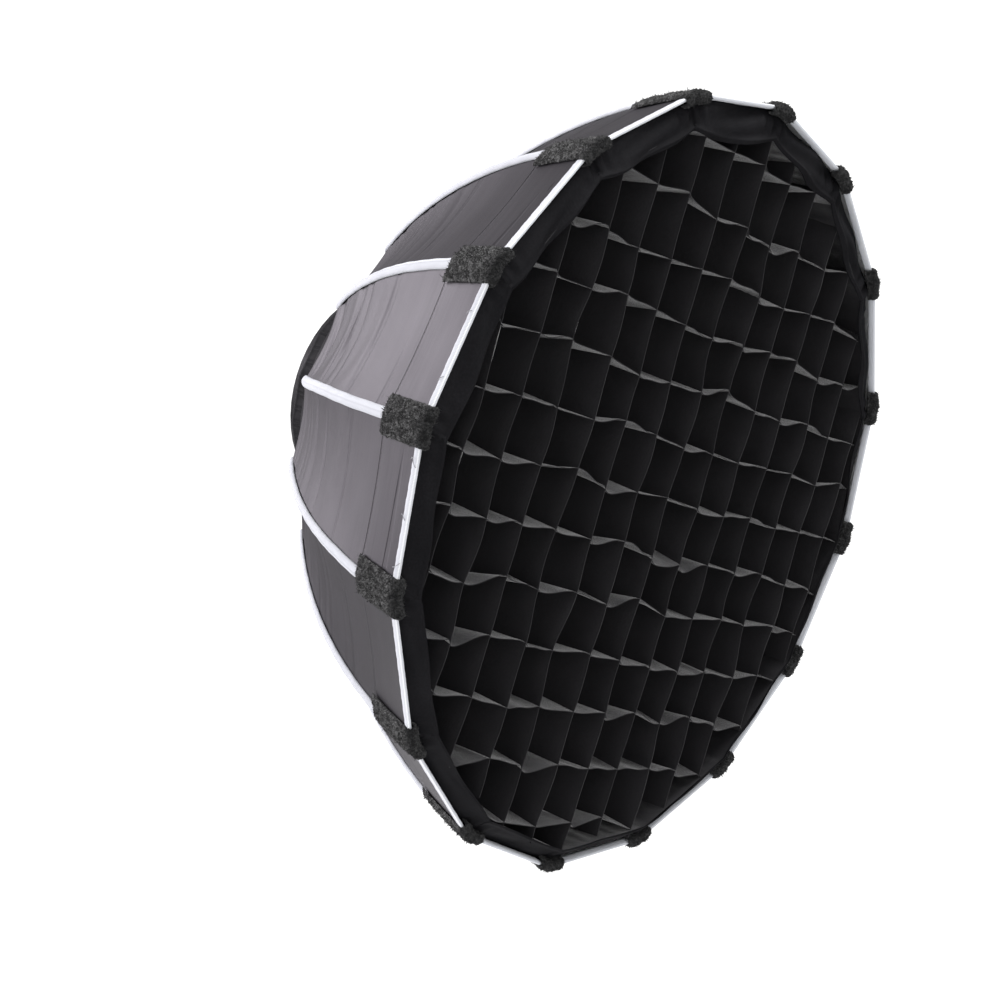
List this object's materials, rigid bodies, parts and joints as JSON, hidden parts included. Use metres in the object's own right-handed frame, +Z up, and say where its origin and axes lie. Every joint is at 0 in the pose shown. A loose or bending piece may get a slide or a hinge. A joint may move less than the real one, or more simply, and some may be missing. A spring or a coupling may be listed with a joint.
{
  "type": "softbox",
  "caption": "Folding deep softbox with a many-sided fabric shell on bent rods, cloth diffusers, a front fabric grid and a bayonet rear ring.",
  "frame": {"origin": "on the optical axis, in the plane of the bayonet flange's rear face, where the light head seats", "axes": "+Y along the optical axis, out of the rear mount towards the light head; the front opening faces -Y; +Z up through a corner of the rim"},
  "size_m": [0.55, 0.3087, 0.55],
  "materials": {
    "shell_nylon": "black coated nylon with a soft sheen",
    "collar_cloth": "plain black nylon",
    "grid_cloth": "matte black woven cloth",
    "diffuser_cloth": "translucent white diffusion cloth",
    "white_tape": "white woven binding tape",
    "loop_pile": "dark grey loop pile",
    "silver_lining": "silver coated reflective lining",
    "rod_steel": "drawn spring steel",
    "knuckle_plastic": "moulded black nylon plastic",
    "ring_metal": "black anodised, satin",
    "steel_wire": "zinc plated"
  },
  "bodies": {
    "hub": {"speed_ring": "ring_metal", "hinge_wire": "steel_wire", "ring_cover": "ring_metal", "bayonet_collar": "ring_metal", "ring_screw_1": "steel_wire", "ring_screw_2": "steel_wire", "ring_screw_3": "steel_wire", "rear_collar": "collar_cloth", "inner_diffuser": "diffuser_cloth", "front_diffuser": "diffuser_cloth", "grid": "grid_cloth", "grid_border": "grid_cloth"},
    "rib_01": {"rod_01": "rod_steel", "rod_knuckle_01": "knuckle_plastic", "shell_panel_01": "shell_nylon"},
    "rib_02": {"rod_02": "rod_steel", "rod_knuckle_02": "knuckle_plastic", "shell_panel_02": "shell_nylon"},
    "rib_03": {"rod_03": "rod_steel", "rod_knuckle_03": "knuckle_plastic", "shell_panel_03": "shell_nylon"},
    "rib_04": {"rod_04": "rod_steel", "rod_knuckle_04": "knuckle_plastic", "shell_panel_04": "shell_nylon"},
    "rib_05": {"rod_05": "rod_steel", "rod_knuckle_05": "knuckle_plastic", "shell_panel_05": "shell_nylon"},
    "rib_06": {"rod_06": "rod_steel", "rod_knuckle_06": "knuckle_plastic", "shell_panel_06": "shell_nylon"},
    "rib_07": {"rod_07": "rod_steel", "rod_knuckle_07": "knuckle_plastic", "shell_panel_07": "shell_nylon"},
    "rib_08": {"rod_08": "rod_steel", "rod_knuckle_08": "knuckle_plastic", "shell_panel_08": "shell_nylon"},
    "rib_09": {"rod_09": "rod_steel", "rod_knuckle_09": "knuckle_plastic", "shell_panel_09": "shell_nylon"},
    "rib_10": {"rod_10": "rod_steel", "rod_knuckle_10": "knuckle_plastic", "shell_panel_10": "shell_nylon"},
    "rib_11": {"rod_11": "rod_steel", "rod_knuckle_11": "knuckle_plastic", "shell_panel_11": "shell_nylon"},
    "rib_12": {"rod_12": "rod_steel", "rod_knuckle_12": "knuckle_plastic", "shell_panel_12": "shell_nylon"},
    "rib_13": {"rod_13": "rod_steel", "rod_knuckle_13": "knuckle_plastic", "shell_panel_13": "shell_nylon"},
    "rib_14": {"rod_14": "rod_steel", "rod_knuckle_14": "knuckle_plastic", "shell_panel_14": "shell_nylon"},
    "rib_15": {"rod_15": "rod_steel", "rod_knuckle_15": "knuckle_plastic", "shell_panel_15": "shell_nylon"},
    "rib_16": {"rod_16": "rod_steel", "rod_knuckle_16": "knuckle_plastic", "shell_panel_16": "shell_nylon"}
  },
  "joints": [
    {"name": "rod_01_fold", "type": "hinge", "parent": "hub", "child": "rib_01", "pos_m": [0, -0.02, 0.0745], "axis": [1, 0, 0], "range_deg": [0, 32], "deforming": ["shell_panel_01", "rear_collar", "inner_diffuser", "front_diffuser", "grid", "grid_border"]},
    {"name": "rod_02_fold", "type": "hinge", "parent": "hub", "child": "rib_02", "pos_m": [0.02851, -0.02, 0.06883], "axis": [0.9239, 0, -0.3827], "range_deg": [0, 32], "deforming": ["shell_panel_02"]},
    {"name": "rod_03_fold", "type": "hinge", "parent": "hub", "child": "rib_03", "pos_m": [0.05268, -0.02, 0.05268], "axis": [0.7071, 0, -0.7071], "range_deg": [0, 32], "deforming": ["shell_panel_03"]},
    {"name": "rod_04_fold", "type": "hinge", "parent": "hub", "child": "rib_04", "pos_m": [0.06883, -0.02, 0.02851], "axis": [0.3827, 0, -0.9239], "range_deg": [0, 32], "deforming": ["shell_panel_04"]},
    {"name": "rod_05_fold", "type": "hinge", "parent": "hub", "child": "rib_05", "pos_m": [0.0745, -0.02, 0], "axis": [0, 0, -1], "range_deg": [0, 32], "deforming": ["shell_panel_05"]},
    {"name": "rod_06_fold", "type": "hinge", "parent": "hub", "child": "rib_06", "pos_m": [0.06883, -0.02, -0.02851], "axis": [-0.3827, 0, -0.9239], "range_deg": [0, 32], "deforming": ["shell_panel_06"]},
    {"name": "rod_07_fold", "type": "hinge", "parent": "hub", "child": "rib_07", "pos_m": [0.05268, -0.02, -0.05268], "axis": [-0.7071, 0, -0.7071], "range_deg": [0, 32], "deforming": ["shell_panel_07"]},
    {"name": "rod_08_fold", "type": "hinge", "parent": "hub", "child": "rib_08", "pos_m": [0.02851, -0.02, -0.06883], "axis": [-0.9239, 0, -0.3827], "range_deg": [0, 32], "deforming": ["shell_panel_08"]},
    {"name": "rod_09_fold", "type": "hinge", "parent": "hub", "child": "rib_09", "pos_m": [0, -0.02, -0.0745], "axis": [-1, 0, 0], "range_deg": [0, 32], "deforming": ["shell_panel_09"]},
    {"name": "rod_10_fold", "type": "hinge", "parent": "hub", "child": "rib_10", "pos_m": [-0.02851, -0.02, -0.06883], "axis": [-0.9239, 0, 0.3827], "range_deg": [0, 32], "deforming": ["shell_panel_10"]},
    {"name": "rod_11_fold", "type": "hinge", "parent": "hub", "child": "rib_11", "pos_m": [-0.05268, -0.02, -0.05268], "axis": [-0.7071, 0, 0.7071], "range_deg": [0, 32], "deforming": ["shell_panel_11"]},
    {"name": "rod_12_fold", "type": "hinge", "parent": "hub", "child": "rib_12", "pos_m": [-0.06883, -0.02, -0.02851], "axis": [-0.3827, 0, 0.9239], "range_deg": [0, 32], "deforming": ["shell_panel_12"]},
    {"name": "rod_13_fold", "type": "hinge", "parent": "hub", "child": "rib_13", "pos_m": [-0.0745, -0.02, 0], "axis": [0, 0, 1], "range_deg": [0, 32], "deforming": ["shell_panel_13"]},
    {"name": "rod_14_fold", "type": "hinge", "parent": "hub", "child": "rib_14", "pos_m": [-0.06883, -0.02, 0.02851], "axis": [0.3827, 0, 0.9239], "range_deg": [0, 32], "deforming": ["shell_panel_14"]},
    {"name": "rod_15_fold", "type": "hinge", "parent": "hub", "child": "rib_15", "pos_m": [-0.05268, -0.02, 0.05268], "axis": [0.7071, 0, 0.7071], "range_deg": [0, 32], "deforming": ["shell_panel_15"]},
    {"name": "rod_16_fold", "type": "hinge", "parent": "hub", "child": "rib_16", "pos_m": [-0.02851, -0.02, 0.06883], "axis": [0.9239, 0, 0.3827], "range_deg": [0, 32], "deforming": ["shell_panel_16"]}
  ],
  "couplings": [
    {"joint": "rod_02_fold", "follows": "rod_01_fold", "ratio": 1},
    {"joint": "rod_03_fold", "follows": "rod_01_fold", "ratio": 1},
    {"joint": "rod_04_fold", "follows": "rod_01_fold", "ratio": 1},
    {"joint": "rod_05_fold", "follows": "rod_01_fold", "ratio": 1},
    {"joint": "rod_06_fold", "follows": "rod_01_fold", "ratio": 1},
    {"joint": "rod_07_fold", "follows": "rod_01_fold", "ratio": 1},
    {"joint": "rod_08_fold", "follows": "rod_01_fold", "ratio": 1},
    {"joint": "rod_09_fold", "follows": "rod_01_fold", "ratio": 1},
    {"joint": "rod_10_fold", "follows": "rod_01_fold", "ratio": 1},
    {"joint": "rod_11_fold", "follows": "rod_01_fold", "ratio": 1},
    {"joint": "rod_12_fold", "follows": "rod_01_fold", "ratio": 1},
    {"joint": "rod_13_fold", "follows": "rod_01_fold", "ratio": 1},
    {"joint": "rod_14_fold", "follows": "rod_01_fold", "ratio": 1},
    {"joint": "rod_15_fold", "follows": "rod_01_fold", "ratio": 1},
    {"joint": "rod_16_fold", "follows": "rod_01_fold", "ratio": 1}
  ]
}
